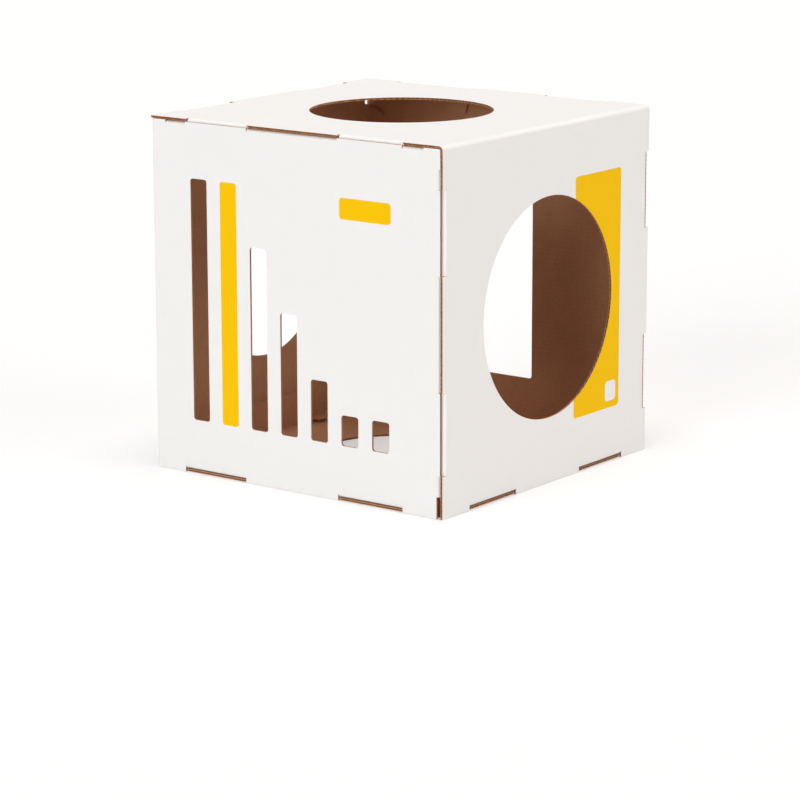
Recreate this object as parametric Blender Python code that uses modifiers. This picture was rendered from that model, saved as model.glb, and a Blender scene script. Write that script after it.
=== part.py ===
"""Cardboard cat house: a cube closed by three folded sheets of corrugated board.

Each sheet is two square panels joined by one soft crease: top with right, front with left, and
back with bottom. The nine other edges of the cube are closed by tabs that fold inwards from both
panels in turn. Units are metres, +Z is up and the front faces -Y. The origin is at the middle of
the ground face. Faces are drawn as the outside of the board, and a Solidify gives them the board's
thickness towards the inside.
"""

import math

import bmesh
import bpy
from mathutils import Vector

# Square that every panel is set out on, from the front lower left corner of the house
PANEL = 0.480

# Board
BOARD = 0.003
CREASE_RADIUS = 0.006
TAB_RADIUS = 0.0045
TAB_CLEARANCE = 0.0012
CUT_CLEARANCE = 0.001
CREASE_GAP = 0.0003

# Interlocking edges, measured from the middle of the square
TAB_INNER = 0.075
TAB_OUTER = 0.180
WIDE_TAB_INNER = 0.050
TAB_LENGTH = 0.030
FLOOR_TAB_LENGTH = 0.051
TAB_TAPER = 0.36
MITRE_TAPER = 1.0
TAB_CORNER = 0.004
RELIEF_WIDTH = 0.0008
RELIEF_DEPTH = 0.0005
FOLDED_CORNER = 0.012
OPEN_CORNER = 0.029
FRONT_NOTCH = 0.007
REAR_NOTCH = 0.015
SMOOTH_ANGLE = 35.0

# Round openings
CLIMB_HOLE_RADIUS = 0.125
DOOR_HOLE_RADIUS = 0.150

# Slots of the front and the tall window of the back
SLOT_PITCH = 0.0505
SLOT_WIDTH = 0.028
SLOT_STEP = 0.0825
SLOT_FIRST = 0.082
SLOT_COLUMNS = ((0, 4.0), (2, 3.0), (3, 2.0), (4, 1.0), (5, 0.5), (6, 0.5))
SLOT_CORNER = 0.004
WINDOW_BOTTOM = 0.075
WINDOW_WIDTH = 0.107
WINDOW_STEPS = 4.0
WINDOW_CORNER = 0.005

# Facets
TAB_BEND_STEPS = 5
CREASE_STEPS = 4
CORNER_STEPS = 4
TAB_CORNER_STEPS = 3
HOLE_STEPS = 96

# Places that follow from the sizes: the top and the right panel lap over the edges they meet
SETBACK = BOARD + CUT_CLEARANCE
TAB_START = BOARD + TAB_CLEARANCE + TAB_RADIUS
WIDTH = HEIGHT = PANEL + SETBACK
DEPTH = PANEL
LEFT_X, RIGHT_X = -WIDTH / 2, WIDTH / 2
FRONT_Y, BACK_Y = -DEPTH / 2, DEPTH / 2

# The two halves of a crease share its middle facet, and the hinge line is on the outside of it
FACET_ANGLE = math.pi / 2 / (2 * CREASE_STEPS + 1)
HALF_FACET = CREASE_RADIUS * math.sin(FACET_ANGLE / 2) - CREASE_GAP / 2
AXIS_INSET = CREASE_RADIUS * (1 - math.cos(FACET_ANGLE / 2) * math.sqrt(0.5))

# Which way a side of a panel is closed
TWO_TABS, THREE_TABS, CREASE = "two tabs", "three tabs", "crease"

# How a three-tab side ends at a corner of the cube
FOLDED, MITRED, OPEN, OPEN_DEEP, ROUNDED_AWAY = "folded", "mitred", "open", "deep", "rounded away"


class Frame:
    """The plane of one panel: u to the right and v up, seen from outside, from its corner."""

    def __init__(self, corner, u, v, size, middle_u=PANEL / 2):
        self.corner, self.u, self.v = Vector(corner), Vector(u), Vector(v)
        self.normal = self.u.cross(self.v)
        self.width, self.height = size
        self.middle = (middle_u, PANEL / 2)

    def at(self, u, v):
        return self.corner + self.u * u + self.v * v

    def lengths(self):
        """Length of each side, and where the middle of the square is along it."""
        w, h = self.width, self.height
        u, v = self.middle
        return (w, u), (h, v), (w, w - u), (h, h - v)


class Side:
    """One side of a panel: how it is closed, its two ends in drawing order, and its breaks."""

    def __init__(self, kind, ends=(FOLDED, FOLDED), breaks=None, middle_length=TAB_LENGTH,
                 round_start=False):
        self.kind, self.ends, self.round_start = kind, ends, round_start
        self.breaks = breaks or (-TAB_OUTER, -TAB_INNER, TAB_INNER, TAB_OUTER)
        self.middle_length = middle_length


def margin(end):
    """Length along the edge that stays without a tab at a corner of the cube."""
    return OPEN_CORNER if end in (OPEN, OPEN_DEEP) else FOLDED_CORNER


def margin_offset(end):
    """How far the cut edge stays back from the neighbour's outside face at such a corner."""
    offsets = {OPEN: FRONT_NOTCH, OPEN_DEEP: REAR_NOTCH, ROUNDED_AWAY: CREASE_RADIUS}
    return offsets.get(end, SETBACK)


def taper(end):
    return MITRE_TAPER if end == MITRED else TAB_TAPER


def segments(side, length, middle):
    """The stretches of one side in drawing order, as (start, end, offset, tab)."""
    if side.kind == CREASE:
        return [(0.0, length, CREASE_RADIUS, None)]
    b0, b1, b2, b3 = (middle + value for value in side.breaks)
    plain = (TAB_TAPER, TAB_TAPER, TAB_LENGTH)
    if side.kind == TWO_TABS:
        return [
            (0.0, b0, 0.0, None),
            (b0, b1, TAB_START, plain),
            (b1, b2, 0.0, None),
            (b2, b3, TAB_START, plain),
            (b3, length, 0.0, None),
        ]
    first, last = side.ends
    start = middle - PANEL / 2 + margin(first)
    stop = middle + PANEL / 2 - margin(last)
    return [
        (0.0, start, margin_offset(first), None),
        (start, b0, TAB_START, (taper(first), TAB_TAPER, TAB_LENGTH)),
        (b0, b1, SETBACK, None),
        (b1, b2, TAB_START, (TAB_TAPER, TAB_TAPER, side.middle_length)),
        (b2, b3, SETBACK, None),
        (b3, stop, TAB_START, (TAB_TAPER, taper(last), TAB_LENGTH)),
        (stop, length, margin_offset(last), None),
    ]


def on_side(index, frame, s, offset):
    """A point of side 0 to 3 (bottom, right, top, left), s along it and offset inwards."""
    w, h = frame.width, frame.height
    return ((s, offset), (w - offset, s), (w - s, h - offset), (offset, h - s))[index]


def corner_arc():
    """Points (s, offset) of a panel corner that lies inside the round end of a crease."""
    radius = CREASE_RADIUS - SETBACK
    for step in range(CORNER_STEPS):
        angle = math.pi / 2 * step / CORNER_STEPS
        yield CREASE_RADIUS - radius * math.cos(angle), CREASE_RADIUS - radius * math.sin(angle)


def outline(frame, sides):
    """The panel's outline as (u, v) points, with what is folded from the edge at each point."""
    runs = [segments(side, *length) for side, length in zip(sides, frame.lengths())]
    half = RELIEF_WIDTH / 2
    points, folds = [], []
    for index, run in enumerate(runs):
        before = runs[index - 1][-1][2]
        if sides[index].round_start:
            arc = [on_side(index, frame, s, offset) for s, offset in corner_arc()]
            points += arc
            folds += [None] * len(arc)
            before = CREASE_RADIUS
        for start, end, offset, tab in run:
            first, last = start == 0.0, end == run[-1][1]
            if not first:
                bottom = TAB_START + RELIEF_DEPTH
                points += [on_side(index, frame, s, bottom) for s in (start - half, start + half)]
                folds += [None, None]
            points.append(on_side(index, frame, before if first else start + half, offset))
            crease = sides[index].kind == CREASE
            folds.append((index, tab) if tab or crease else None)
            if not last:
                points.append(on_side(index, frame, end - half, offset))
                folds.append(None)
    return points, folds


def rounded_box(low_u, low_v, width, height, radius):
    """A rectangle with round corners, as a closed loop of (u, v) points."""
    loop = []
    corners = ((width - radius, height - radius), (radius, height - radius),
               (radius, radius), (width - radius, radius))
    for quarter, (u, v) in enumerate(corners):
        for step in range(CORNER_STEPS + 1):
            angle = math.pi / 2 * (quarter + step / CORNER_STEPS)
            loop.append((low_u + u + radius * math.cos(angle), low_v + v + radius * math.sin(angle)))
    return loop


def round_hole(frame, radius):
    """A circle round the middle of the panel's square, as a loop of (u, v) points."""
    u, v = frame.middle
    angles = (2 * math.pi * step / HOLE_STEPS for step in range(HOLE_STEPS))
    return [(u + radius * math.cos(angle), v + radius * math.sin(angle)) for angle in angles]


def add_loop(bm, frame, loop):
    """Draws a closed loop of (u, v) points on the panel's outside face and returns its edges."""
    verts = [bm.verts.new(frame.at(u, v)) for u, v in loop]
    return [bm.edges.new(pair) for pair in zip(verts, verts[1:] + verts[:1])]


def bend(bm, edge, along, normal, radius, angle, steps):
    """Turns an edge inwards about the axis of its crease and returns the last edge."""
    centre = edge.verts[0].co - normal * radius
    turned = bmesh.ops.spin(bm, geom=[edge, *edge.verts], cent=centre, axis=along,
                            angle=angle, steps=steps, use_duplicate=False)
    return next(item for item in turned["geom_last"] if isinstance(item, bmesh.types.BMEdge))


def extrude(bm, edge):
    """Extrudes an edge in place and returns its two new points."""
    grown = bmesh.ops.extrude_edge_only(bm, edges=[edge])["geom"]
    return [item for item in grown if isinstance(item, bmesh.types.BMVert)]


def fold_crease(bm, edge, along, outward, normal):
    """Adds a panel's half of a crease, which ends in the middle of the crease's middle facet."""
    last = bend(bm, edge, along, normal, CREASE_RADIUS, FACET_ANGLE * CREASE_STEPS, CREASE_STEPS)
    for point in extrude(bm, last):
        point.co += (outward - normal).normalized() * HALF_FACET


def fold_tab(bm, edge, along, normal, tab):
    """Folds a tab inwards from its root edge: a bend, then a tapered flap with round corners."""
    start_taper, end_taper, length = tab
    last = bend(bm, edge, along, normal, TAB_RADIUS, math.pi / 2, TAB_BEND_STEPS)
    reach = length - TAB_RADIUS
    tips = sorted(extrude(bm, last), key=lambda point: point.co.dot(along))
    for tip, slope in zip(tips, (start_taper, -end_taper)):
        tip.co += (along * slope - normal) * reach
    bmesh.ops.bevel(bm, geom=tips, offset=TAB_CORNER, segments=TAB_CORNER_STEPS, profile=0.5,
                    affect="VERTICES")


def build_panel(name, frame, sides, holes, hinge, materials):
    """Makes one panel with its tabs and its half of the crease."""
    points, folds = outline(frame, sides)
    bm = bmesh.new()
    border = add_loop(bm, frame, points)
    loops = list(border)
    for hole in holes:
        loops += add_loop(bm, frame, hole)
    bmesh.ops.triangle_fill(bm, edges=loops, use_beauty=True, normal=frame.normal)
    outward = (-frame.v, frame.u, frame.v, -frame.u)
    for edge, fold in zip(border, folds):
        if not fold:
            continue
        index, tab = fold
        along = frame.normal.cross(outward[index])
        if tab:
            fold_tab(bm, edge, along, frame.normal, tab)
        else:
            fold_crease(bm, edge, along, outward[index], frame.normal)
    bmesh.ops.recalc_face_normals(bm, faces=bm.faces)
    flat = max(bm.faces, key=lambda face: face.calc_area())
    if flat.normal.dot(frame.normal) < 0:
        bmesh.ops.reverse_faces(bm, faces=bm.faces)
    bmesh.ops.translate(bm, vec=-Vector(hinge), verts=bm.verts)
    mesh = bpy.data.meshes.new(name)
    bm.to_mesh(mesh)
    bm.free()
    mesh.shade_smooth()
    mesh.set_sharp_from_angle(angle=math.radians(SMOOTH_ANGLE))
    panel = bpy.data.objects.new(name, mesh)
    panel.location = hinge
    for material in materials:
        mesh.materials.append(material)
    board = panel.modifiers.new("board", "SOLIDIFY")
    board.thickness, board.offset = BOARD, -1.0
    board.use_even_offset = board.use_quality_normals = True
    board.material_offset = board.material_offset_rim = 1
    return panel


def slots():
    """The cut-out columns of the front, which stand on one line and step down to the right."""
    for column, steps in SLOT_COLUMNS:
        left = SLOT_FIRST + column * SLOT_PITCH - SLOT_WIDTH / 2
        yield rounded_box(left, WINDOW_BOTTOM, SLOT_WIDTH, steps * SLOT_STEP, SLOT_CORNER)


def paint(name, colour, roughness):
    material = bpy.data.materials.new(name)
    material.use_nodes = True
    shader = material.node_tree.nodes["Principled BSDF"]
    shader.inputs["Base Color"].default_value = (*colour, 1.0)
    shader.inputs["Roughness"].default_value = roughness
    shader.inputs["Metallic"].default_value = 0.0
    return material


def panel_frames():
    """The planes of the six panels."""
    wide, deep, tall = WIDTH, DEPTH, HEIGHT
    from_right = WIDTH - PANEL / 2
    return {
        "front_panel": Frame((LEFT_X, FRONT_Y, 0), (1, 0, 0), (0, 0, 1), (wide, tall)),
        "right_panel": Frame((RIGHT_X, FRONT_Y, 0), (0, 1, 0), (0, 0, 1), (deep, tall)),
        "back_panel": Frame((RIGHT_X, BACK_Y, 0), (-1, 0, 0), (0, 0, 1), (wide, tall), from_right),
        "left_panel": Frame((LEFT_X, BACK_Y, 0), (0, -1, 0), (0, 0, 1), (deep, tall)),
        "top_panel": Frame((LEFT_X, FRONT_Y, tall), (1, 0, 0), (0, 1, 0), (wide, deep)),
        "bottom_panel": Frame((LEFT_X, BACK_Y, 0), (1, 0, 0), (0, -1, 0), (wide, deep)),
    }


def panel_sides():
    """How each panel is closed on its bottom, right, top and left side, seen from outside."""
    crease, two = Side(CREASE), Side(TWO_TABS)
    wide_on_top = (-TAB_OUTER, -TAB_INNER, WIDE_TAB_INNER, TAB_OUTER)
    narrow_on_back = (-TAB_OUTER, -WIDE_TAB_INNER, TAB_INNER, TAB_OUTER)
    return {
        "front_panel": (
            two,
            Side(THREE_TABS, (OPEN, FOLDED)),
            Side(THREE_TABS, (FOLDED, MITRED), round_start=True),
            crease,
        ),
        "right_panel": (two, two, crease, two),
        "back_panel": (
            crease,
            two,
            Side(THREE_TABS, (OPEN_DEEP, FOLDED), narrow_on_back),
            Side(THREE_TABS, (FOLDED, MITRED), round_start=True),
        ),
        "left_panel": (
            two,
            crease,
            Side(THREE_TABS, (MITRED, OPEN_DEEP)),
            Side(THREE_TABS, (OPEN_DEEP, ROUNDED_AWAY)),
        ),
        "top_panel": (two, crease, Side(TWO_TABS, breaks=wide_on_top), two),
        "bottom_panel": (
            crease,
            Side(THREE_TABS, (MITRED, OPEN), middle_length=FLOOR_TAB_LENGTH),
            Side(THREE_TABS, (OPEN, FOLDED), middle_length=FLOOR_TAB_LENGTH),
            Side(THREE_TABS, (FOLDED, FOLDED), middle_length=FLOOR_TAB_LENGTH, round_start=True),
        ),
    }


def window(frame):
    """The tall opening of the back, as high as the tallest column."""
    left = frame.middle[0] - WINDOW_WIDTH / 2
    height = WINDOW_STEPS * SLOT_STEP
    return rounded_box(left, WINDOW_BOTTOM, WINDOW_WIDTH, height, WINDOW_CORNER)


def panel_holes(frames):
    """The openings of each panel, as loops of (u, v) points."""
    holes = {"front_panel": list(slots()), "back_panel": [window(frames["back_panel"])]}
    holes["right_panel"] = [round_hole(frames["right_panel"], DOOR_HOLE_RADIUS)]
    for name in ("left_panel", "top_panel", "bottom_panel"):
        holes[name] = [round_hole(frames[name], CLIMB_HOLE_RADIUS)]
    return holes


def main():
    for old in list(bpy.data.objects):
        bpy.data.objects.remove(old, do_unlink=True)
    house = bpy.data.collections.new("cat_house")
    bpy.context.scene.collection.children.link(house)
    frames, sides = panel_frames(), panel_sides()
    holes = panel_holes(frames)
    hinges = {
        "top_panel": (RIGHT_X - AXIS_INSET, 0, HEIGHT - AXIS_INSET),
        "front_panel": (LEFT_X + AXIS_INSET, FRONT_Y + AXIS_INSET, 0),
        "back_panel": (0, BACK_Y - AXIS_INSET, AXIS_INSET),
    }
    for name, frame in frames.items():
        materials = (
            paint(f"{name}_white_liner", (0.90, 0.895, 0.88), 0.55),
            paint(f"{name}_kraft_liner", (0.24, 0.115, 0.062), 0.85),
        )
        hinge = hinges.get(name, (0, 0, 0))
        panel = build_panel(name, frame, sides[name], holes[name], hinge, materials)
        house.objects.link(panel)


main()
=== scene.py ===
"""Cardboard cat house of white-faced corrugated board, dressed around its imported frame.

Every panel is drawn as the flat sheet that a die would cut, with its tabs and openings, and is then
folded by formula. Three layers follow that drawing: a white-faced outer liner, a fluted medium and
a kraft inner liner, so that each cut edge shows real flutes. Units are metres.
"""

import logging
import math
from dataclasses import dataclass
from enum import Enum
from typing import Callable, Iterable

import bmesh
import bpy
from bmesh.types import BMEdge, BMesh, BMFace, BMLayerItem, BMVert
from bpy.types import ID, Material, Node, NodeOutputs, NodeSocket, NodeTree, Object
from mathutils import Matrix, Vector


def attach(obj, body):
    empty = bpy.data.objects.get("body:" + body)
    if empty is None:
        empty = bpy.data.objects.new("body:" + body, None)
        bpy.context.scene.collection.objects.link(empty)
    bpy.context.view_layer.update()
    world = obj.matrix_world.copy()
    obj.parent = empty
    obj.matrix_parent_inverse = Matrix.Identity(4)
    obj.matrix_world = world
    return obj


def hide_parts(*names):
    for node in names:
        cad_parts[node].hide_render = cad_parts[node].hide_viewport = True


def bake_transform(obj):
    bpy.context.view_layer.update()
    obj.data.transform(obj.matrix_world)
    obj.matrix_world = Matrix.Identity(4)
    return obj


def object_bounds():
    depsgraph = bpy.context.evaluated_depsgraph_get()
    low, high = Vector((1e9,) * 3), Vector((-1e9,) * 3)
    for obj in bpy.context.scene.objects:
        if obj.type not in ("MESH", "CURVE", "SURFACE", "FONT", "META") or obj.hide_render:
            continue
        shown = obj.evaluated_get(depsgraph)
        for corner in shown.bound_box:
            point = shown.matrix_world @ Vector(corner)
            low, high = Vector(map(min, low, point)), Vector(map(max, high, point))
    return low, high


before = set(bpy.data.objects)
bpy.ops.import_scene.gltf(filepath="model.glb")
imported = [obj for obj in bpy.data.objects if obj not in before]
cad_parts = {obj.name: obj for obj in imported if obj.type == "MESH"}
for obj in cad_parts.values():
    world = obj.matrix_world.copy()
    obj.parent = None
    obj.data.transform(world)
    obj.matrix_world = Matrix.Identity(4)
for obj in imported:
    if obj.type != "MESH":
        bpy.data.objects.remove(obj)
CAD_LOW, CAD_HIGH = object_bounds()

LOG = logging.getLogger("cat_house")

# Vertex attribute that keeps each point's place on the flat sheet: u, v, and across the flutes
SHEET = "sheet"

# Flat board that a crease's own piece carries on either side of its bend
CREASE_FLAT = 0.001

# Faces that meet at more than this angle, in degrees, are shaded with a sharp edge between them
SHARP_ANGLE = 38.0

# Points closer together than this are one point
SAME_POINT = 1e-7

# A place on a flat sheet, a closed line of such places, and a direction, place or colour
Point = tuple[float, float]
Loop = list[Point]
Triple = tuple[float, float, float]


class Closure(Enum):
    """How one side of a panel is closed."""

    TWO_TABS = "two tabs"
    THREE_TABS = "three tabs"
    CREASE = "crease"


class Layer(Enum):
    """The three papers of the board, from outside to inside."""

    OUTER_LINER = "outer_liner"
    FLUTING = "fluting"
    INNER_LINER = "inner_liner"


@dataclass(frozen=True)
class Board:
    """White-faced single-wall corrugated board and the way it folds."""

    thickness: float = 0.003
    liner: float = 0.0003
    medium: float = 0.00022
    glue_gap: float = 0.00002
    flute_pitch: float = 0.0062
    slices_per_flute: int = 8
    crease_radius: float = 0.006
    crease_steps: int = 12
    tab_radius: float = 0.0045
    tab_steps: int = 8
    tab_clearance: float = 0.0022
    crush: float = 0.45
    crush_core: float = 0.005
    crush_reach: float = 0.016
    crush_steps: int = 6

    @property
    def setback(self) -> float:
        """How far a cut edge stays inside the panel that laps over it."""
        width, depth = (CAD_HIGH - CAD_LOW).xy
        return width - depth

    @property
    def tab_root(self) -> float:
        """Distance from the neighbour's outside face to where a tab starts to bend."""
        return self.thickness + self.tab_clearance + self.tab_radius

    @property
    def crease_arc(self) -> float:
        """Length of the outside face round a crease."""
        return self.crease_radius * math.pi / 2

    def depth(self, layer: Layer, across: float) -> float:
        """Depth of a layer's drawn surface below the outside face.

        Args:
            layer: The paper of the board.
            across: Distance across the flutes from the middle of the crease.

        Returns:
            The depth in metres.
        """
        fade = (abs(across) - self.crush_core) / (self.crush_reach - self.crush_core)
        fade = min(max(fade, 0.0), 1.0)
        core = self.thickness - 2 * self.liner
        core *= 1.0 - self.crush * (1.0 - fade * fade * (3.0 - 2.0 * fade))
        if layer is Layer.OUTER_LINER:
            return 0.0
        if layer is Layer.INNER_LINER:
            return self.liner + core
        swing = core / 2 - self.medium / 2 - self.glue_gap
        return self.liner + core / 2 - swing * math.cos(2 * math.pi * across / self.flute_pitch)

    def fold(self, beyond: float, depth: float, radius: float) -> Point:
        """Folds a point of the flat sheet round a right-angled bend.

        Args:
            beyond: Distance past the line where the bend starts, on the outside face.
            depth: Depth below the outside face.
            radius: Radius of the outside face in the bend.

        Returns:
            The point's distance past that line and its distance below the outside face.
        """
        arc = radius * math.pi / 2
        if beyond <= 0:
            return beyond, depth
        if beyond < arc:
            angle = beyond / radius
            return (radius - depth) * math.sin(angle), radius - (radius - depth) * math.cos(angle)
        return radius - depth, radius + beyond - arc


BOARD = Board()


@dataclass(frozen=True)
class TabPattern:
    """Places and sizes of the fold-in tabs.

    Breaks are where tabs start and end, measured from the middle of an edge.
    """

    breaks: tuple[float, ...] = (-0.180, -0.075, 0.075, 0.180)
    back_breaks: tuple[float, ...] = (-0.180, -0.075, 0.050, 0.180)
    floor_breaks: tuple[float, ...] = (-0.188, -0.082, 0.0745, 0.180)
    seam_breaks: tuple[float, ...] = (-0.183, -0.074, 0.0775, 0.1875)
    length: float = 0.030
    floor_length: float = 0.051
    back_length: float = 0.038
    taper: float = 0.36
    mitre: float = 1.0
    corner: float = 0.004
    corner_steps: int = 5
    nick_width: float = 0.0002
    nick_depth: float = 0.0002
    folded_corner: float = 0.026
    open_corner: float = 0.029
    rear_corner: float = 0.033
    front_notch: float = 0.0095
    rear_notch: float = 0.012


TABS = TabPattern()


@dataclass(frozen=True)
class Corner:
    """How a three-tab side ends at a corner of the cube.

    The margin is its length without a tab, the offset is how far its cut edge stays inside the
    neighbour, and the taper is how much the outer end of the end tab draws in.
    """

    margin: float = TABS.folded_corner
    offset: float = BOARD.setback
    taper: float = TABS.taper


class End(Enum):
    """The ways in which a three-tab side ends."""

    FOLDED = Corner()
    MITRED = Corner(taper=TABS.mitre)
    OPEN_FRONT = Corner(TABS.open_corner, TABS.front_notch)
    OPEN_REAR = Corner(TABS.rear_corner, TABS.rear_notch)
    ROUNDED_AWAY = Corner(offset=BOARD.crease_radius)


@dataclass(frozen=True)
class Tab:
    """One flap: how much each end draws in for each metre of its reach, and its length."""

    start_taper: float = TABS.taper
    end_taper: float = TABS.taper
    length: float = TABS.length

    def draw(self, bm: BMesh, edge: BMEdge, side: int, tag: BMLayerItem) -> None:
        """Draws the flat tab out of its root edge, in rows where it will bend.

        Args:
            bm: The flat sheet.
            edge: The root edge.
            side: Index of the side that the tab is on.
            tag: The face layer that takes the side, counted from 1.
        """
        out = Vector(((0, -1, 0), (1, 0, 0), (0, 1, 0), (-1, 0, 0))[side])
        along = Vector((0, 0, 1)).cross(out)
        row = BOARD.tab_radius * math.pi / 2 / BOARD.tab_steps
        reach = self.length - BOARD.tab_radius
        made: list[BMFace] = []
        for step in range(BOARD.tab_steps + 1):
            grown = bmesh.ops.extrude_edge_only(bm, edges=[edge])["geom"]
            verts = [item for item in grown if isinstance(item, BMVert)]
            made += [item for item in grown if isinstance(item, BMFace)]
            last = step == BOARD.tab_steps
            bmesh.ops.translate(bm, vec=out * (reach if last else row), verts=verts)
            edge = bm.edges.get(verts)
        tips = sorted(edge.verts, key=lambda vert: vert.co.dot(along))
        for tip, slope in zip(tips, (self.start_taper, -self.end_taper)):
            tip.co += along * slope * reach
        for face in made:
            face[tag] = side + 1
            face.smooth = True
        made[-1].smooth = False
        bmesh.ops.bevel(
            bm,
            geom=tips,
            offset=TABS.corner,
            segments=TABS.corner_steps,
            profile=0.5,
            affect="VERTICES",
            material=-1,
        )


@dataclass(frozen=True)
class Stretch:
    """A stretch of one side of a panel, from start to end, drawn at an offset inwards."""

    start: float
    end: float
    offset: float
    tab: Tab | None = None


@dataclass(frozen=True)
class Side:
    """One side of a panel in drawing order, which runs anticlockwise seen from outside."""

    closure: Closure
    first: End = End.FOLDED
    last: End = End.FOLDED
    breaks: tuple[float, ...] = TABS.breaks
    middle_length: float = TABS.length
    round_start: bool = False

    def stretches(self, length: float, middle: float, square: float) -> list[Stretch]:
        """Splits the side into its cut edges and tabs.

        Args:
            length: Length of the side.
            middle: Where the middle of the panel's square lies along it.
            square: Side of that square.

        Returns:
            The stretches in drawing order.
        """
        if self.closure is Closure.CREASE:
            return [Stretch(0.0, length, BOARD.crease_radius + CREASE_FLAT)]
        marks = [middle + value for value in self.breaks]
        edge, tab = (0.0, None), (BOARD.tab_root, Tab(length=self.middle_length))
        kinds = [edge, tab, edge, tab, edge]
        if self.closure is Closure.THREE_TABS:
            first, last = self.first.value, self.last.value
            start, stop = middle - square / 2 + first.margin, middle + square / 2 - last.margin
            marks = [start, *marks, stop]
            edge = (BOARD.setback, None)
            first_tab = (BOARD.tab_root, Tab(start_taper=first.taper))
            last_tab = (BOARD.tab_root, Tab(end_taper=last.taper))
            kinds = [(first.offset, None), first_tab, edge, tab, edge, last_tab]
            kinds.append((last.offset, None))
        spans = zip([0.0, *marks], [*marks, length], kinds)
        return [Stretch(start, end, *kind) for start, end, kind in spans]


@dataclass(frozen=True)
class Plane:
    """The outside face of a panel: u to the right and v up, seen from outside."""

    corner: Vector
    u: Vector
    v: Vector
    width: float
    height: float
    middle: Point
    square: float = (CAD_HIGH - CAD_LOW).y

    @property
    def normal(self) -> Vector:
        """The direction out of the house."""
        return self.u.cross(self.v)

    def outward(self, index: int) -> Vector:
        """The direction out of the panel at side 0 to 3: bottom, right, top, left."""
        return (-self.v, self.u, self.v, -self.u)[index]

    def place(self, u: float, v: float, depth: float = 0.0) -> Vector:
        """A point of the panel in the frame of the house."""
        return self.corner + self.u * u + self.v * v - self.normal * depth

    def sides(self) -> tuple[Point, ...]:
        """Length of each side, and where the middle of the square lies along it."""
        (w, h), (u, v) = (self.width, self.height), self.middle
        return (w, u), (h, v), (w, w - u), (h, h - v)

    def on_side(self, index: int, along: float, offset: float) -> Point:
        """A point of one side, at an offset inwards."""
        w, h, low = self.width, self.height, offset
        return ((along, low), (w - low, along), (w - along, h - low), (low, h - along))[index]

    def inwards(self, index: int, u: float, v: float) -> float:
        """How far inwards from one side a point is."""
        return (v, self.width - u, self.height - v, u)[index]


def circle(centre: Point, radius: float, steps: int = 192) -> Loop:
    """Draws a circle as a closed loop of points."""
    angles = (2 * math.pi * step / steps for step in range(steps))
    return [(centre[0] + radius * math.cos(a), centre[1] + radius * math.sin(a)) for a in angles]


def slice_sheet(bm: BMesh, faces: list[BMFace], axis: int, cuts: list[float]) -> None:
    """Cuts flat faces along parallel lines, halving the set so that each cut meets few faces.

    Args:
        bm: The flat sheet.
        faces: The faces to cut.
        axis: 0 for lines at a given u, 1 for lines at a given v.
        cuts: Where the lines are, in rising order.
    """
    if not cuts or not faces:
        return
    middle = len(cuts) // 2
    normal = Vector((1.0, 0.0, 0.0) if axis == 0 else (0.0, 1.0, 0.0))
    edges = {edge for face in faces for edge in face.edges}
    verts = {vert for face in faces for vert in face.verts}
    geometry, place = [*verts, *edges, *faces], normal * cuts[middle]
    cut = bmesh.ops.bisect_plane(
        bm, geom=geometry, dist=SAME_POINT, plane_co=place, plane_no=normal
    )
    pieces = [item for item in cut["geom"] if isinstance(item, BMFace)]
    low = [face for face in pieces if face.calc_center_median()[axis] < cuts[middle]]
    high = [face for face in pieces if face.calc_center_median()[axis] >= cuts[middle]]
    slice_sheet(bm, low, axis, cuts[:middle])
    slice_sheet(bm, high, axis, cuts[middle + 1 :])


def flute_cuts(low: float, high: float, origin: float) -> list[float]:
    """Places of the lines that shape the flutes between two limits.

    Args:
        low: Lower limit.
        high: Upper limit.
        origin: The middle of the crease, where a flute has its crest.

    Returns:
        The places in rising order.
    """
    step = BOARD.flute_pitch / BOARD.slices_per_flute
    first, last = math.ceil((low - origin) / step), math.floor((high - origin) / step)
    return [origin + step * count for count in range(first, last + 1)]


def crush_cuts(origin: float) -> list[float]:
    """Places of the lines where the board gets thinner towards a crease, on both sides of it.

    Args:
        origin: The middle of the crease.

    Returns:
        The places in rising order.
    """
    span, steps = BOARD.crush_reach - BOARD.crush_core, BOARD.crush_steps
    reach = [BOARD.crush_core + span * step / steps for step in range(steps + 1)]
    return sorted(origin + sign * value for sign in (-1.0, 1.0) for value in reach)


def crease_end_arc(steps: int = 8) -> Loop:
    """Draws a panel corner that lies inside the round end of a neighbour's crease.

    Args:
        steps: How many points it has.

    Returns:
        The points, each as its place along the side and inwards.
    """
    outer, radius = BOARD.crease_radius, BOARD.crease_radius - BOARD.setback
    angles = [math.pi / 2 * step / steps for step in range(steps)]
    return [(outer - radius * math.cos(a), outer - radius * math.sin(a)) for a in angles]


def draw_loop(bm: BMesh, loop: Loop) -> list[BMEdge]:
    """Draws a closed loop in the plane z = 0 and returns its edges."""
    verts = [bm.verts.new((u, v, 0.0)) for u, v in loop]
    return [bm.edges.new(pair) for pair in zip(verts, verts[1:] + verts[:1])]


def face_up(bm: BMesh) -> None:
    """Turns the faces of a flat sheet up."""
    bmesh.ops.recalc_face_normals(bm, faces=bm.faces)
    if max(bm.faces, key=lambda face: face.calc_area()).normal.z < 0:
        bmesh.ops.reverse_faces(bm, faces=bm.faces)


def add_object(name: str, data: ID) -> Object:
    """Makes an object of a mesh, lamp or camera and puts it in the scene.

    Args:
        name: Its name.
        data: What it is made of.

    Returns:
        The object, at the origin.
    """
    made = bpy.data.objects.new(name, data)
    bpy.context.scene.collection.objects.link(made)
    return made


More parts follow.
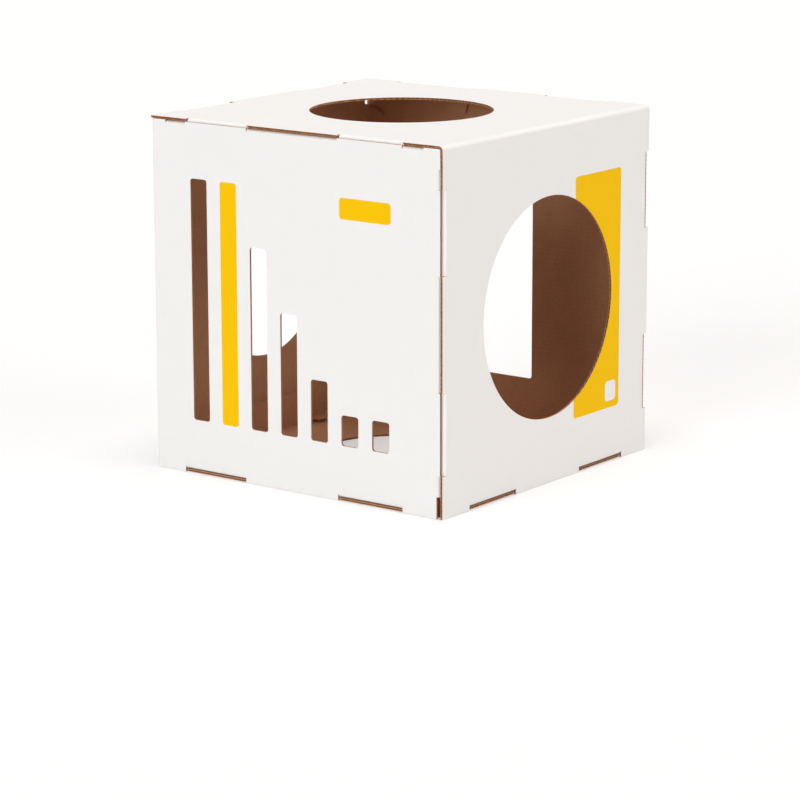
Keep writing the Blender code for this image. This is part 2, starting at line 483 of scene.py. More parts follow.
def finish_piece(owner: str, layer: Layer, bm: BMesh, materials: Iterable[Material]) -> Object:
    """Makes a folded surface a closed sheet of paper.

    Args:
        owner: Name of the panel or crease that the paper belongs to.
        layer: The paper. The fluting is as thick on both sides of its surface.
        bm: The folded surface. It is freed.
        materials: The finishes of the outside, the inside and the cut edge.

    Returns:
        The piece, at the origin, with its thickness in its mesh.
    """
    name = f"{owner}_{layer.value}"
    fluting = layer is Layer.FLUTING
    mesh = bpy.data.meshes.new(name)
    bm.to_mesh(mesh)
    bm.free()
    source = add_object(name, mesh)
    for material in materials:
        mesh.materials.append(material)
    paper = source.modifiers.new("paper", "SOLIDIFY")
    paper.thickness = BOARD.medium if fluting else BOARD.liner
    paper.offset = 0.0 if fluting else -1.0
    paper.use_even_offset = paper.use_quality_normals = True
    paper.material_offset = 1
    paper.material_offset_rim = 2
    graph = bpy.context.evaluated_depsgraph_get()
    solid = bpy.data.meshes.new_from_object(source.evaluated_get(graph))
    solid.name = name
    bpy.data.objects.remove(source)
    bpy.data.meshes.remove(mesh)
    solid.set_sharp_from_angle(angle=math.radians(SHARP_ANGLE))
    piece = add_object(name, solid)
    return piece


@dataclass(frozen=True)
class Panel:
    """One square panel of a sheet, with its tabs."""

    name: str
    body: str
    plane: Plane
    sides: tuple[Side, Side, Side, Side]
    cutouts: tuple[Loop, ...]

    @property
    def crease_side(self) -> int:
        """Index of the side that carries the crease."""
        return next(i for i, side in enumerate(self.sides) if side.closure is Closure.CREASE)

    @property
    def across_axis(self) -> int:
        """0 where the flutes run along v, 1 where they run along u: they follow the crease."""
        return self.crease_side % 2 ^ 1

    @property
    def flute_origin(self) -> float:
        """Flat place of the middle of the crease, across the flutes."""
        past = BOARD.crease_radius * (math.pi / 4 - 1)
        return (-past, self.plane.width + past, self.plane.height + past, -past)[self.crease_side]

    def outline(self) -> list[tuple[Point, int, Tab | None]]:
        """Draws the panel without its tabs.

        Returns:
            The points of the loop, each with its side and the tab on the edge that starts there.
        """
        runs = [
            side.stretches(length, middle, self.plane.square)
            for side, (length, middle) in zip(self.sides, self.plane.sides())
        ]
        half, floor = TABS.nick_width / 2, BOARD.tab_root + TABS.nick_depth
        points: list[tuple[Point, int, Tab | None]] = []

        def add(index: int, along: float, offset: float, tab: Tab | None = None) -> None:
            """Adds a point of one side."""
            points.append((self.plane.on_side(index, along, offset), index, tab))

        for index, run in enumerate(runs):
            along = runs[index - 1][-1].offset
            if self.sides[index].round_start:
                for point in crease_end_arc():
                    add(index, *point)
                along = BOARD.crease_radius
            for number, stretch in enumerate(run):
                if number:
                    along = stretch.start + half
                    add(index, stretch.start - half, floor)
                    add(index, along, floor)
                add(index, along, stretch.offset, stretch.tab)
                if stretch is not run[-1]:
                    add(index, stretch.end - half, stretch.offset)
        return points

    def draw(self) -> BMesh:
        """Draws the flat sheet with its openings and tabs, each face tagged with its tab's side.

        Returns:
            The sheet in the plane z = 0, with u along x and v along y.
        """
        outline, flat_angle = self.outline(), 0.01
        bm = bmesh.new()
        tag = bm.faces.layers.int.new("tab_side")
        border = draw_loop(bm, [point for point, _, _ in outline])
        edges = list(border)
        for cutout in self.cutouts:
            edges += draw_loop(bm, cutout)
        bmesh.ops.triangle_fill(bm, edges=edges, use_beauty=True, normal=(0.0, 0.0, 1.0))
        bmesh.ops.dissolve_limit(bm, angle_limit=flat_angle, verts=[], edges=bm.edges[:])
        for edge, (_, side, tab) in zip(border, outline):
            if tab:
                tab.draw(bm, edge, side, tag)
        face_up(bm)
        return bm

    def fold(
        self, bm: BMesh, layer: Layer, start: float, radius: float, side_of: Callable[[BMVert], int]
    ) -> None:
        """Folds a flat sheet and moves it to its place, keeping where each point was drawn.

        Args:
            bm: The flat sheet.
            layer: The paper that it becomes.
            start: How far inwards from a side its bend starts.
            radius: Radius of the outside face in the bend.
            side_of: Gives the side that a point bends over, or -1.
        """
        axis, origin, plane = self.across_axis, self.flute_origin, self.plane
        sheet = bm.verts.layers.float_vector.new(SHEET)
        for vert in bm.verts:
            u, v, _ = vert.co
            across = vert.co[axis] - origin
            vert[sheet] = (u, v, across)
            depth, side = BOARD.depth(layer, across), side_of(vert)
            if side < 0:
                vert.co = plane.place(u, v, depth)
                continue
            beyond = start - plane.inwards(side, u, v)
            past, below = BOARD.fold(beyond, depth, radius)
            vert.co = plane.place(u, v, below) + plane.outward(side) * (past - beyond)

    def build(self, layer: Layer, materials: Iterable[Material]) -> Object:
        """Builds one paper of the panel.

        Args:
            layer: The paper.
            materials: The finishes of its outside, inside and cut edge.

        Returns:
            The finished piece.
        """
        bm = self.draw()
        axis, origin = self.across_axis, self.flute_origin
        if layer is Layer.FLUTING:
            reach = max(self.plane.width, self.plane.height) + TABS.floor_length
            slice_sheet(bm, bm.faces[:], axis, flute_cuts(-TABS.floor_length, reach, origin))
            for face in bm.faces:
                face.smooth = True
        elif layer is Layer.INNER_LINER:
            slice_sheet(bm, bm.faces[:], axis, crush_cuts(origin))
        tag = bm.faces.layers.int["tab_side"]
        self.fold(
            bm,
            layer,
            BOARD.tab_root,
            BOARD.tab_radius,
            lambda vert: max((face[tag] for face in vert.link_faces), default=0) - 1,
        )
        piece = finish_piece(self.name, layer, bm, materials)
        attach(piece, self.body)
        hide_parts(self.name)
        return piece


@dataclass(frozen=True)
class Crease:
    """The soft bend between a panel of the standing base and one that can unfold."""

    name: str
    panel: Panel
    other: str
    body: str
    near: Point
    far: Point

    def draw(self) -> BMesh:
        """Draws the flat strip in the plane of the base's panel, in rows where it will bend.

        Returns:
            The strip in the plane z = 0, with the panel's u along x and v along y.
        """
        arc = BOARD.crease_arc
        start, middle, stop = -CREASE_FLAT, arc / 2, arc + CREASE_FLAT
        (near_low, near_high), (far_low, far_high) = self.near, self.far
        corners = [(near_low, start), (near_high, start), (near_high, middle), (far_high, middle)]
        corners += [(far_high, stop), (far_low, stop), (far_low, middle), (near_low, middle)]
        plane, side = self.panel.plane, self.panel.crease_side
        loop = [
            plane.on_side(side, along, BOARD.crease_radius - beyond)
            for along, beyond in dict.fromkeys(corners)
        ]
        bm = bmesh.new()
        bmesh.ops.contextual_create(bm, geom=draw_loop(bm, loop))
        face_up(bm)
        return bm

    def rows(self, layer: Layer) -> list[float]:
        """Where the strip is cut so that it can bend.

        Args:
            layer: The paper. The fluting is also cut where its flutes need it.

        Returns:
            The places on the axis across the flutes, in rising order.
        """
        panel, arc = self.panel, BOARD.crease_arc
        digits, reach = 7, 0.6 * arc
        places = set()
        for step in range(BOARD.crease_steps + 1):
            offset = BOARD.crease_radius - arc * step / BOARD.crease_steps
            row = panel.plane.on_side(panel.crease_side, 0.0, offset)
            places.add(round(row[panel.across_axis], digits))
        if layer is Layer.FLUTING:
            origin = panel.flute_origin
            places.update(flute_cuts(origin - reach, origin + reach, origin))
        return sorted(places)

    def build(self, layer: Layer, materials: Iterable[Material]) -> Object:
        """Builds one paper of the crease, folded round its bend.

        Args:
            layer: The paper.
            materials: The finishes of its outside, inside and cut edge.

        Returns:
            The finished piece.
        """
        bm = self.draw()
        slice_sheet(bm, bm.faces[:], self.panel.across_axis, self.rows(layer))
        for face in bm.faces:
            face.smooth = True
        plane, side, radius = self.panel.plane, self.panel.crease_side, BOARD.crease_radius
        self.panel.fold(bm, layer, radius, radius, lambda vert: side)
        piece = finish_piece(self.name, layer, bm, materials)
        middle = plane.sides()[side][0] / 2
        start = plane.place(*plane.on_side(side, middle, radius))
        end = plane.place(*plane.on_side(side, middle, 0.0), radius)
        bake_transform(piece)
        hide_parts(self.panel.name, self.other)
        return piece


Value = float | tuple[float, ...] | NodeSocket
Sockets = tuple[NodeSocket, ...]


@dataclass(frozen=True)
class Bench:
    """Places shader nodes in one tree and joins them."""

    tree: NodeTree

    def add(self, kind: str, inputs: dict[str | int, Value], **settings: object) -> Node:
        """Adds a node.

        Args:
            kind: Its type, without the leading ShaderNode.
            inputs: A value or a source for each input that isn't left at its default.
            settings: Its other settings.

        Returns:
            The node.
        """
        node = self.tree.nodes.new(f"ShaderNode{kind}")
        for name, setting in settings.items():
            setattr(node, name, setting)
        for name, value in inputs.items():
            if isinstance(value, NodeSocket):
                self.tree.links.new(value, node.inputs[name])
            else:
                node.inputs[name].default_value = value
        return node

    def math(self, operation: str, *values: Value) -> NodeSocket:
        """Adds a Math node and returns its result."""
        return self.add("Math", dict(enumerate(values)), operation=operation).outputs[0]

    def vector(self, operation: str, *values: Value) -> NodeSocket:
        """Adds a Vector Math node and returns its vector."""
        return self.add("VectorMath", dict(enumerate(values)), operation=operation).outputs[0]

    def noise(self, point: Value, scale: Value, **more: float) -> NodeSocket:
        """Adds a Noise Texture node and returns its value."""
        inputs = {"Vector": point, "Scale": scale, **more}
        return self.add("TexNoise", inputs).outputs[0]

    def mix(self, share: Value, first: Value, second: Value) -> NodeSocket:
        """Mixes two colours and returns the result."""
        inputs = {0: share, 6: first, 7: second}
        return self.add("Mix", inputs, data_type="RGBA").outputs[2]

    def tint(self, colour: Value, tone: Value) -> NodeSocket:
        """Multiplies a colour by a tone and returns the result."""
        node = self.add("VectorMath", {0: colour, "Scale": tone}, operation="SCALE")
        return node.outputs[0]


@dataclass(frozen=True)
class Effect:
    """A surface effect that several finishes share, kept as one group of shader nodes."""

    name: str
    inputs: dict[str, Value]
    outputs: tuple[str, ...]
    recipe: Callable[[Bench, NodeOutputs], Sockets]

    def group(self) -> NodeTree:
        """Builds the group the first time that it is asked for.

        Returns:
            The group.
        """
        if self.name in bpy.data.node_groups:
            return bpy.data.node_groups[self.name]
        tree = bpy.data.node_groups.new(self.name, "ShaderNodeTree")
        for name, default in self.inputs.items():
            kind = "NodeSocketVector" if isinstance(default, tuple) else "NodeSocketFloat"
            socket = tree.interface.new_socket(name, in_out="INPUT", socket_type=kind)
            socket.default_value = default
        for name in self.outputs:
            tree.interface.new_socket(name, in_out="OUTPUT", socket_type="NodeSocketFloat")
        source = tree.nodes.new("NodeGroupInput")
        results = self.recipe(Bench(tree), source.outputs)
        target = tree.nodes.new("NodeGroupOutput")
        for socket, result in zip(target.inputs, results):
            tree.links.new(result, socket)
        return tree

    def use(self, bench: Bench, inputs: dict[str | int, Value]) -> NodeOutputs:
        """Places the group in a material, with its own values, and returns its outputs."""
        return bench.add("Group", inputs, node_tree=self.group()).outputs


def paper_grain_recipe(bench: Bench, given: NodeOutputs) -> Sockets:
    """Paper pulp: fine fibres, clouds where the sheet formed unevenly, and dark flecks.

    Args:
        bench: The group's bench.
        given: Its inputs.

    Returns:
        The tone, to multiply a colour by, and the height of the fibres.
    """
    clouds_per_metre, flecks_per_metre = 34.0, 520.0
    fleck_starts, fleck_full = 0.62, 0.74
    point, fibres_per_metre = given["Point"], bench.math("DIVIDE", 1.0, given["Fibre Size"])
    fibres = bench.noise(point, fibres_per_metre, Detail=4.0, Roughness=0.62)
    clouds = bench.noise(point, clouds_per_metre, Detail=3.0, Roughness=0.55)
    flecks = bench.noise(point, flecks_per_metre, Detail=1.0, Distortion=1.6)
    tone = bench.math("MULTIPLY_ADD", bench.math("SUBTRACT", fibres, 0.5), given["Grain"], 1.0)
    cloud = bench.math("MULTIPLY_ADD", bench.math("SUBTRACT", clouds, 0.5), given["Cloud"], 1.0)
    limits = {0: flecks, 1: fleck_starts, 2: fleck_full, 3: 0.0, 4: 1.0}
    dark = bench.add("MapRange", limits).outputs[0]
    fleck = bench.math("SUBTRACT", 1.0, bench.math("MULTIPLY", dark, given["Fleck"]))
    return bench.math("MULTIPLY", bench.math("MULTIPLY", tone, cloud), fleck), fibres


ORIGIN = (0.0, 0.0, 0.0)

PAPER_GRAIN = Effect(
    "paper_grain",
    {"Point": ORIGIN, "Fibre Size": 0.0011, "Grain": 0.2, "Cloud": 0.1, "Fleck": 0.0},
    ("Tone", "Height"),
    paper_grain_recipe,
)


def flute_lines_recipe(bench: Bench, given: NodeOutputs) -> Sockets:
    """Faint ribs where the liner is glued to the crests of the flutes.

    Args:
        bench: The group's bench.
        given: Its inputs.

    Returns:
        The tone, to multiply a colour by, and the height of the ribs.
    """
    across = bench.add("SeparateXYZ", {0: given["Sheet"]}).outputs["Z"]
    patches_per_metre, wobble_gain, wobble_drop = 18.0, 1.2, -0.1
    wobble = bench.noise(given["Sheet"], patches_per_metre)
    turn = bench.math("DIVIDE", across, given["Pitch"])
    wave = bench.math("COSINE", bench.math("MULTIPLY", turn, 2 * math.pi))
    strength = bench.math("MULTIPLY_ADD", wobble, wobble_gain, wobble_drop)
    height = bench.math("MULTIPLY", wave, strength)
    tone = bench.math("MULTIPLY_ADD", height, given["Shade"], 1.0)
    return tone, height


FLUTE_LINES = Effect(
    "flute_lines",
    {"Sheet": ORIGIN, "Pitch": BOARD.flute_pitch, "Shade": 0.02},
    ("Tone", "Height"),
    flute_lines_recipe,
)


def print_patch_recipe(bench: Bench, given: NodeOutputs) -> Sockets:
    """A printed rectangle with round corners, measured on the flat sheet.

    Args:
        bench: The group's bench.
        given: Its inputs.

    Returns:
        The mask, which is 1 inside.
    """
    away = bench.vector("ABSOLUTE", bench.vector("SUBTRACT", given["Sheet"], given["Centre"]))
    over = bench.vector("SUBTRACT", away, given["Half Size"])
    over = bench.vector("MULTIPLY", over, (1.0, 1.0, 0.0))
    radius = bench.add("CombineXYZ", {0: given["Radius"], 1: given["Radius"]}).outputs[0]
    inner = bench.vector("ADD", over, radius)
    outside = bench.vector("MAXIMUM", inner, ORIGIN)
    reach = bench.add("VectorMath", {0: outside}, operation="LENGTH").outputs["Value"]
    parts = bench.add("SeparateXYZ", {0: inner}).outputs
    inside = bench.math("MINIMUM", bench.math("MAXIMUM", parts[0], parts[1]), 0.0)
    distance = bench.math("SUBTRACT", bench.math("ADD", reach, inside), given["Radius"])
    softness = 0.00018
    inputs = {0: distance, 1: -softness, 2: softness, 3: 1.0, 4: 0.0}
    return (bench.add("MapRange", inputs).outputs[0],)


PRINT_PATCH = Effect(
    "print_patch",
    {"Sheet": ORIGIN, "Centre": ORIGIN, "Half Size": (0.01, 0.01, 0.0), "Radius": 0.004},
    ("Mask",),
    print_patch_recipe,
)


@dataclass(frozen=True)
class Patch:
    """A printed rectangle on a panel, from its low corner to its high corner."""

    low: Point
    high: Point
    radius: float

    def mask(self, bench: Bench, sheet: NodeSocket) -> NodeSocket:
        """The mask of the patch.

        Args:
            bench: The material's bench.
            sheet: The place on the flat sheet.

        Returns:
            The mask, which is 1 inside.
        """
        (u0, v0), (u1, v1) = self.low, self.high
        inputs = {
            "Sheet": sheet,
            "Centre": ((u0 + u1) / 2, (v0 + v1) / 2, 0.0),
            "Half Size": ((u1 - u0) / 2, (v1 - v0) / 2, 0.0),
            "Radius": self.radius,
        }
        return PRINT_PATCH.use(bench, inputs)["Mask"]


@dataclass(frozen=True)
class Paper:
    """The finish of one paper of the board."""

    name: str
    colour: Triple
    roughness: float
    fibre_size: float = 0.0011
    grain: float = 0.2
    cloud: float = 0.1
    fleck: float = 0.0
    line_shade: float = 0.0
    line_height: float = 0.00003
    fibre_height: float = 0.00002
    roughness_swing: float = 0.14
    sheen: float = 0.04
    ink: Triple = (1.0, 0.59, 0.002)
    ink_grain: float = 0.03
    ink_gloss: float = 0.08
    printed: tuple[Patch, ...] = ()
    spared: tuple[Patch, ...] = ()

    def printed_mask(self, bench: Bench, sheet: NodeSocket) -> NodeSocket | None:
        """Where ink covers the paper.

        Args:
            bench: The material's bench.
            sheet: The place on the flat sheet.

        Returns:
            The mask, or None where nothing is printed.
        """
        mask = None
        for patch in self.printed:
            more = patch.mask(bench, sheet)
            mask = more if mask is None else bench.math("MAXIMUM", mask, more)
        for patch in self.spared:
            rest = bench.math("SUBTRACT", 1.0, patch.mask(bench, sheet))
            mask = bench.math("MULTIPLY", mask, rest)
        return mask

    def material(self) -> Material:
        """Builds the material the first time that it is asked for.

        Returns:
            The material.
        """
        if self.name in bpy.data.materials:
            return bpy.data.materials[self.name]
        made = bpy.data.materials.new(self.name)
        made.use_nodes = True
        bench = Bench(made.node_tree)
        shader = made.node_tree.nodes["Principled BSDF"]
        point = bench.add("TexCoord", {}).outputs["Object"]
        sheet = bench.add("Attribute", {}, attribute_name=SHEET).outputs["Vector"]
        pulp = {"Point": point, "Fibre Size": self.fibre_size, "Grain": self.grain}
        grain = PAPER_GRAIN.use(bench, {**pulp, "Cloud": self.cloud, "Fleck": self.fleck})
        lines = FLUTE_LINES.use(bench, {"Sheet": sheet, "Shade": self.line_shade})
        tone = bench.math("MULTIPLY", grain["Tone"], lines["Tone"])
        colour = bench.tint(self.colour, tone)
        swing = self.roughness_swing
        lowest = self.roughness - swing / 2
        roughness = bench.math("MULTIPLY_ADD", grain["Height"], swing, lowest)
        mask = self.printed_mask(bench, sheet)
        if mask is not None:
            darkest = 1.0 - self.ink_grain / 2
            tone = bench.math("MULTIPLY_ADD", grain["Height"], self.ink_grain, darkest)
            colour = bench.mix(mask, colour, bench.tint(self.ink, tone))
            roughness = bench.math("MULTIPLY_ADD", mask, -self.ink_gloss, roughness)
        ribs = bench.math("MULTIPLY", lines["Height"], self.line_height)
        height = bench.math("MULTIPLY_ADD", grain["Height"], self.fibre_height, ribs)
        bump = bench.add("Bump", {"Height": height, "Distance": 1.0, "Strength": 1.0})
        surface = {"Base Color": colour, "Roughness": roughness, "Normal": bump.outputs[0]}
        for name, source in surface.items():
            made.node_tree.links.new(source, shader.inputs[name])
        shader.inputs["Specular IOR Level"].default_value = self.sheen
        return made


# Prints of the front and the right panel, as places on their flat sheets
FRONT_PRINTS = (
    Patch((0.1185, 0.075), (0.1465, 0.405), 0.004),
    Patch((0.3187, 0.3755), (0.4020, 0.4035), 0.005),
)
RIGHT_PRINTS = (Patch((0.3003, 0.0765), (0.4108, 0.407), 0.005),)
RIGHT_SPARED = (Patch((0.377, 0.086), (0.403, 0.114), 0.006),)

WHITE = (0.93, 0.925, 0.915)
KRAFT = (0.58, 0.31, 0.172)
KRAFT_DARK = (0.42, 0.22, 0.12)
FLUTE_BROWN = (0.72, 0.37, 0.20)
EDGE_BROWN = (0.92, 0.49, 0.26)


def white_face(name: str, **prints: tuple[Patch, ...]) -> Paper:
    """The coated white face of the outer liner, with what is printed on it."""
    return Paper(name, WHITE, 0.52, grain=0.035, cloud=0.02, line_shade=0.0015, **prints)


class Finish(Enum):
    """The finishes of the board."""

    WHITE_FACE = white_face("white_face")
    FRONT_FACE = white_face("white_face_front", printed=FRONT_PRINTS)
    RIGHT_FACE = white_face("white_face_right", printed=RIGHT_PRINTS, spared=RIGHT_SPARED)
    KRAFT_BACK = Paper("kraft_back", KRAFT_DARK, 0.8, grain=0.35, cloud=0.14, fleck=0.25)
    KRAFT_FACE = Paper(
        "kraft_face", KRAFT, 0.78, grain=0.35, cloud=0.16, fleck=0.35, line_shade=0.035
    )
    KRAFT_FLUTE = Paper("kraft_flute", FLUTE_BROWN, 0.85, grain=0.45, cloud=0.15, fleck=0.3)
    CUT_EDGE = Paper(
        "cut_edge", EDGE_BROWN, 0.92, 0.0005, grain=0.8, cloud=0.2, fleck=0.3, fibre_height=0.00012
    )


def sheet_materials(layer: Layer, face: Finish) -> list[Material]:
    """The materials of one paper's outside, inside and cut edge."""
    sides = {
        Layer.OUTER_LINER: (face, Finish.KRAFT_BACK),
        Layer.FLUTING: (Finish.KRAFT_FLUTE, Finish.KRAFT_FLUTE),
        Layer.INNER_LINER: (Finish.KRAFT_BACK, Finish.KRAFT_FACE),
    }
    return [finish.value.material() for finish in (*sides[layer], Finish.CUT_EDGE)]


@dataclass(frozen=True)
class House:
    """The cube of three folded sheets: top with right, front with left, back with bottom."""

    low: Vector = CAD_LOW
    high: Vector = CAD_HIGH
    climb_radius: float = 0.125
    door_radius: float = 0.150
    column_pitch: float = 0.0505
    column_width: float = 0.028
    column_step: float = 0.0825
    first_column: float = 0.082
    columns: tuple[tuple[int, float], ...] = ((0, 4), (2, 3), (3, 2), (4, 1), (5, 0.5), (6, 0.5))
    column_corner: float = 0.004
    opening_bottom: float = 0.075
    window_width: float = 0.107
    window_steps: float = 4.0
    window_corner: float = 0.005
    corner_steps: int = 8

    def planes(self) -> dict[str, Plane]:
        """The outside faces of the six panels.

        Returns:
            Each panel's plane, by the panel's name.
        """
        (x0, y0, z0), (x1, y1, z1) = self.low, self.high
        wide, deep, tall = self.high - self.low
        right, back, up = Vector((1, 0, 0)), Vector((0, 1, 0)), Vector((0, 0, 1))
        half = deep / 2
        even, from_right = (half, half), (wide - half, half)
        return {
            "front_panel": Plane(Vector((x0, y0, z0)), right, up, wide, tall, even),
            "right_panel": Plane(Vector((x1, y0, z0)), back, up, deep, tall, even),
            "back_panel": Plane(Vector((x1, y1, z0)), -right, up, wide, tall, from_right),
            "left_panel": Plane(Vector((x0, y1, z0)), -back, up, deep, tall, even),
            "top_panel": Plane(Vector((x0, y0, z1)), right, back, wide, deep, even),
            "bottom_panel": Plane(Vector((x0, y1, z0)), right, -back, wide, deep, even),
        }

    def sides(self) -> dict[str, tuple[Side, Side, Side, Side]]:
        """How each panel is closed on its bottom, right, top and left side.

        Returns:
            Each panel's sides, by the panel's name.
        """
        low = {"middle_length": TABS.floor_length}

        def mirrored(breaks: tuple[float, ...]) -> tuple[float, ...]:
            """The same breaks, seen from the neighbour."""
            return tuple(-value for value in reversed(breaks))

        def three(first: End, last: End, **more: object) -> Side:
            """A side with three tabs."""
            return Side(Closure.THREE_TABS, first, last, **more)

        def two(**more: object) -> Side:
            """A side with two tabs."""
            return Side(Closure.TWO_TABS, **more)

        crease, seam = Side(Closure.CREASE), two(breaks=mirrored(TABS.seam_breaks))
        back = two(breaks=TABS.back_breaks, middle_length=TABS.back_length)
        return {
            "front_panel": (
                two(breaks=TABS.floor_breaks),
                three(End.OPEN_FRONT, End.FOLDED, breaks=TABS.seam_breaks),
                three(End.FOLDED, End.MITRED, round_start=True),
                crease,
            ),
            "right_panel": (two(), two(), crease, seam),
            "back_panel": (
                crease,
                two(),
                three(End.OPEN_REAR, End.FOLDED, breaks=mirrored(TABS.back_breaks)),
                three(End.FOLDED, End.MITRED, round_start=True),
            ),
            "left_panel": (
                two(),
                crease,
                three(End.MITRED, End.OPEN_REAR),
                three(End.OPEN_REAR, End.ROUNDED_AWAY),
            ),
            "top_panel": (two(), crease, back, two()),
            "bottom_panel": (
                crease,
                three(End.MITRED, End.OPEN_FRONT, **low),
                three(End.OPEN_FRONT, End.FOLDED, breaks=mirrored(TABS.floor_breaks), **low),
                three(End.FOLDED, End.FOLDED, round_start=True, **low),
            ),
        }

    def opening(self, middle: float, width: float, steps: float, radius: float) -> Loop:
        """Draws an upright opening with round corners, which stands where the columns stand.

        Args:
            middle: Where the middle of its width is.
            width: Its width.
            steps: Its height, in steps of the columns.
            radius: Radius of its corners.

        Returns:
            The closed loop of its points.
        """
        left, bottom, height = middle - width / 2, self.opening_bottom, steps * self.column_step
        right, top = width - radius, height - radius
        centres = ((right, top), (radius, top), (radius, radius), (right, radius))
        loop: Loop = []
        for quarter, (u, v) in enumerate(centres):
            for step in range(self.corner_steps + 1):
                a = math.pi / 2 * (quarter + step / self.corner_steps)
                loop.append((left + u + radius * math.cos(a), bottom + v + radius * math.sin(a)))
        return loop

    def panels(self) -> dict[str, Panel]:
        """The six panels.

        Returns:
            Each panel, by its name.
        """
        planes, sides = self.planes(), self.sides()
        columns = []
        for column, steps in self.columns:
            middle = self.first_column + column * self.column_pitch
            columns.append(self.opening(middle, self.column_width, steps, self.column_corner))
        middle = planes["back_panel"].middle[0]
        window = self.opening(middle, self.window_width, self.window_steps, self.window_corner)
        cutouts = {
            "front_panel": tuple(columns),
            "back_panel": (window,),
            "right_panel": (circle(planes["right_panel"].middle, self.door_radius),),
        }
        bodies = {"top_panel": "top", "front_panel": "front", "back_panel": "back"}
        made = {}
        for name, plane in planes.items():
            holes = cutouts.get(name, (circle(plane.middle, self.climb_radius),))
            made[name] = Panel(name, bodies.get(name, "base"), plane, sides[name], holes)
        return made

    def creases(self, panels: dict[str, Panel]) -> list[Crease]:
        """The three creases, each from a panel of the base to one that can unfold.

        Args:
            panels: The panels.

        Returns:
            The creases.
        """
        wide, deep, tall = self.high - self.low
        edge = BOARD.setback
        full, upright = (0.0, deep), (0.0, tall - edge)
        floor, wall = (edge, wide - edge), (0.0, wide - edge)
        return [
            Crease("top_crease", panels["right_panel"], "top_panel", "top", full, full),
            Crease("front_crease", panels["left_panel"], "front_panel", "front", upright, upright),
            Crease("back_crease", panels["bottom_panel"], "back_panel", "back", floor, wall),
        ]

    def build(self) -> None:
        """Builds and dresses every paper of every panel and crease."""
        faces = {"front_panel": Finish.FRONT_FACE, "right_panel": Finish.RIGHT_FACE}
        panels = self.panels()
        for part in (*panels.values(), *self.creases(panels)):
            face = faces.get(part.name, Finish.WHITE_FACE)
            for layer in Layer:
                piece = part.build(layer, sheet_materials(layer, face))
                count = len(piece.data.polygons)
                LOG.info("%s: %d faces, moves with %s", piece.name, count, part.body)


PURE, WARM, MILD = (1.0, 1.0, 1.0), (1.0, 0.955, 0.93), (1.0, 0.965, 0.94)


@dataclass(frozen=True)
class Lamp:
    """One broad, soft light of the studio, far enough away to be even."""

    name: str
    source: Triple
    strength: float
    colour: Triple
    angle: float = 40.0

    def build(self) -> None:
        """Adds the light."""
        sun = bpy.data.lights.new(self.name, "SUN")
        sun.energy, sun.angle, sun.color = self.strength, math.radians(self.angle), self.colour
        lamp = add_object(self.name, sun)
        lamp.rotation_euler = Vector(self.source).to_track_quat("Z", "Y").to_euler()


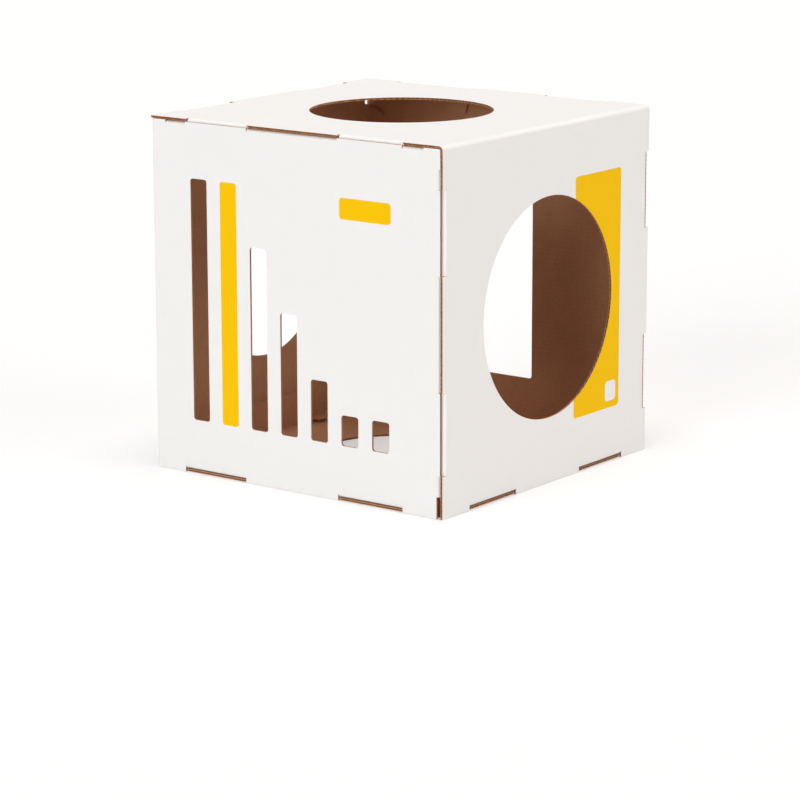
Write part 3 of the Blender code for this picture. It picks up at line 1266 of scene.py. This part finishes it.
@dataclass(frozen=True)
class Studio:
    """A plain pale floor, soft plain light, and the camera of the photograph."""

    location: Triple = (2.6160, -3.4978, 1.0859)
    azimuth: float = 36.851
    elevation: float = 12.954
    roll: float = -0.104
    lens: float = 146.13
    sensor: float = 36.0
    floor_half: float = 20.0
    floor_drop: float = 0.0004
    floor_colour: float = 0.75
    floor_roughness: float = 0.9
    floor_glow: float = 0.3
    sky: float = 0.10
    sky_colour: Triple = (1.0, 0.985, 0.97)
    lamps: tuple[Lamp, ...] = (
        Lamp("front", (0.0, -0.966, 0.259), 1.64, PURE),
        Lamp("near side", (0.970, -0.171, 0.174), 0.50, WARM),
        Lamp("far side", (0.919, 0.335, 0.208), 0.93, WARM),
        Lamp("top", (0.0, -0.035, 0.999), 1.78, MILD),
        Lamp("back", (0.0, 0.643, 0.766), 0.31, MILD),
    )

    def camera(self) -> None:
        """Adds the camera."""
        camera = add_object("camera", bpy.data.cameras.new("camera"))
        camera.data.lens, camera.data.sensor_width = self.lens, self.sensor
        turn = Matrix.Rotation(math.radians(self.azimuth), 4, "Z")
        tilt = Matrix.Rotation(math.radians(90.0 - self.elevation), 4, "X")
        roll = Matrix.Rotation(math.radians(self.roll), 4, "Z")
        camera.matrix_world = Matrix.Translation(self.location) @ turn @ tilt @ roll
        bpy.context.scene.camera = camera

    @staticmethod
    def seen(bench: Bench) -> NodeSocket:
        """A mask of the rays that show the background itself.

        Args:
            bench: The bench of the floor or the room.

        Returns:
            The mask, which is 1 for those rays.
        """
        path = bench.add("LightPath", {}).outputs
        gloss = bench.math("MAXIMUM", path["Is Camera Ray"], path["Is Glossy Ray"])
        return bench.math("MAXIMUM", gloss, path["Is Transmission Ray"])

    def floor(self) -> None:
        """Adds the floor, which looks white but keeps the shadow of the house."""
        bm = bmesh.new()
        bmesh.ops.create_grid(bm, x_segments=1, y_segments=1, size=self.floor_half)
        bmesh.ops.translate(bm, vec=(0.0, 0.0, -self.floor_drop), verts=bm.verts)
        mesh = bpy.data.meshes.new("floor")
        bm.to_mesh(mesh)
        bm.free()
        floor = add_object("floor", mesh)
        made = bpy.data.materials.new("floor")
        made.use_nodes = True
        bench = Bench(made.node_tree)
        shader = made.node_tree.nodes["Principled BSDF"]
        shader.inputs["Base Color"].default_value = (*[self.floor_colour] * 3, 1.0)
        shader.inputs["Roughness"].default_value = self.floor_roughness
        shader.inputs["Specular IOR Level"].default_value = 0.0
        glow = bench.math("MULTIPLY", self.seen(bench), self.floor_glow)
        emission = bench.add("Emission", {"Strength": glow})
        both = bench.add("AddShader", {0: shader.outputs[0], 1: emission.outputs[0]})
        output = made.node_tree.nodes["Material Output"]
        made.node_tree.links.new(both.outputs[0], output.inputs["Surface"])
        mesh.materials.append(made)

    def light(self) -> None:
        """Adds the lamps and the even light of the room, which shows as white itself."""
        for lamp in self.lamps:
            lamp.build()
        world = bpy.data.worlds.new("room")
        world.use_nodes = True
        bench = Bench(world.node_tree)
        background = world.node_tree.nodes["Background"]
        dim = (*(part * self.sky for part in self.sky_colour), 1.0)
        colour = bench.mix(self.seen(bench), dim, (1.0, 1.0, 1.0, 1.0))
        world.node_tree.links.new(colour, background.inputs["Color"])
        bpy.context.scene.world = world

    def build(self) -> None:
        """Sets up the whole studio."""
        self.camera()
        self.floor()
        self.light()
        bpy.context.scene.view_settings.view_transform = "Standard"


def main() -> None:
    """Builds the studio and the house, and reports each piece."""
    logging.basicConfig(level=logging.INFO, format="%(name)s: %(message)s")
    Studio().build()
    House().build()


if __name__ == "__main__":
    main()
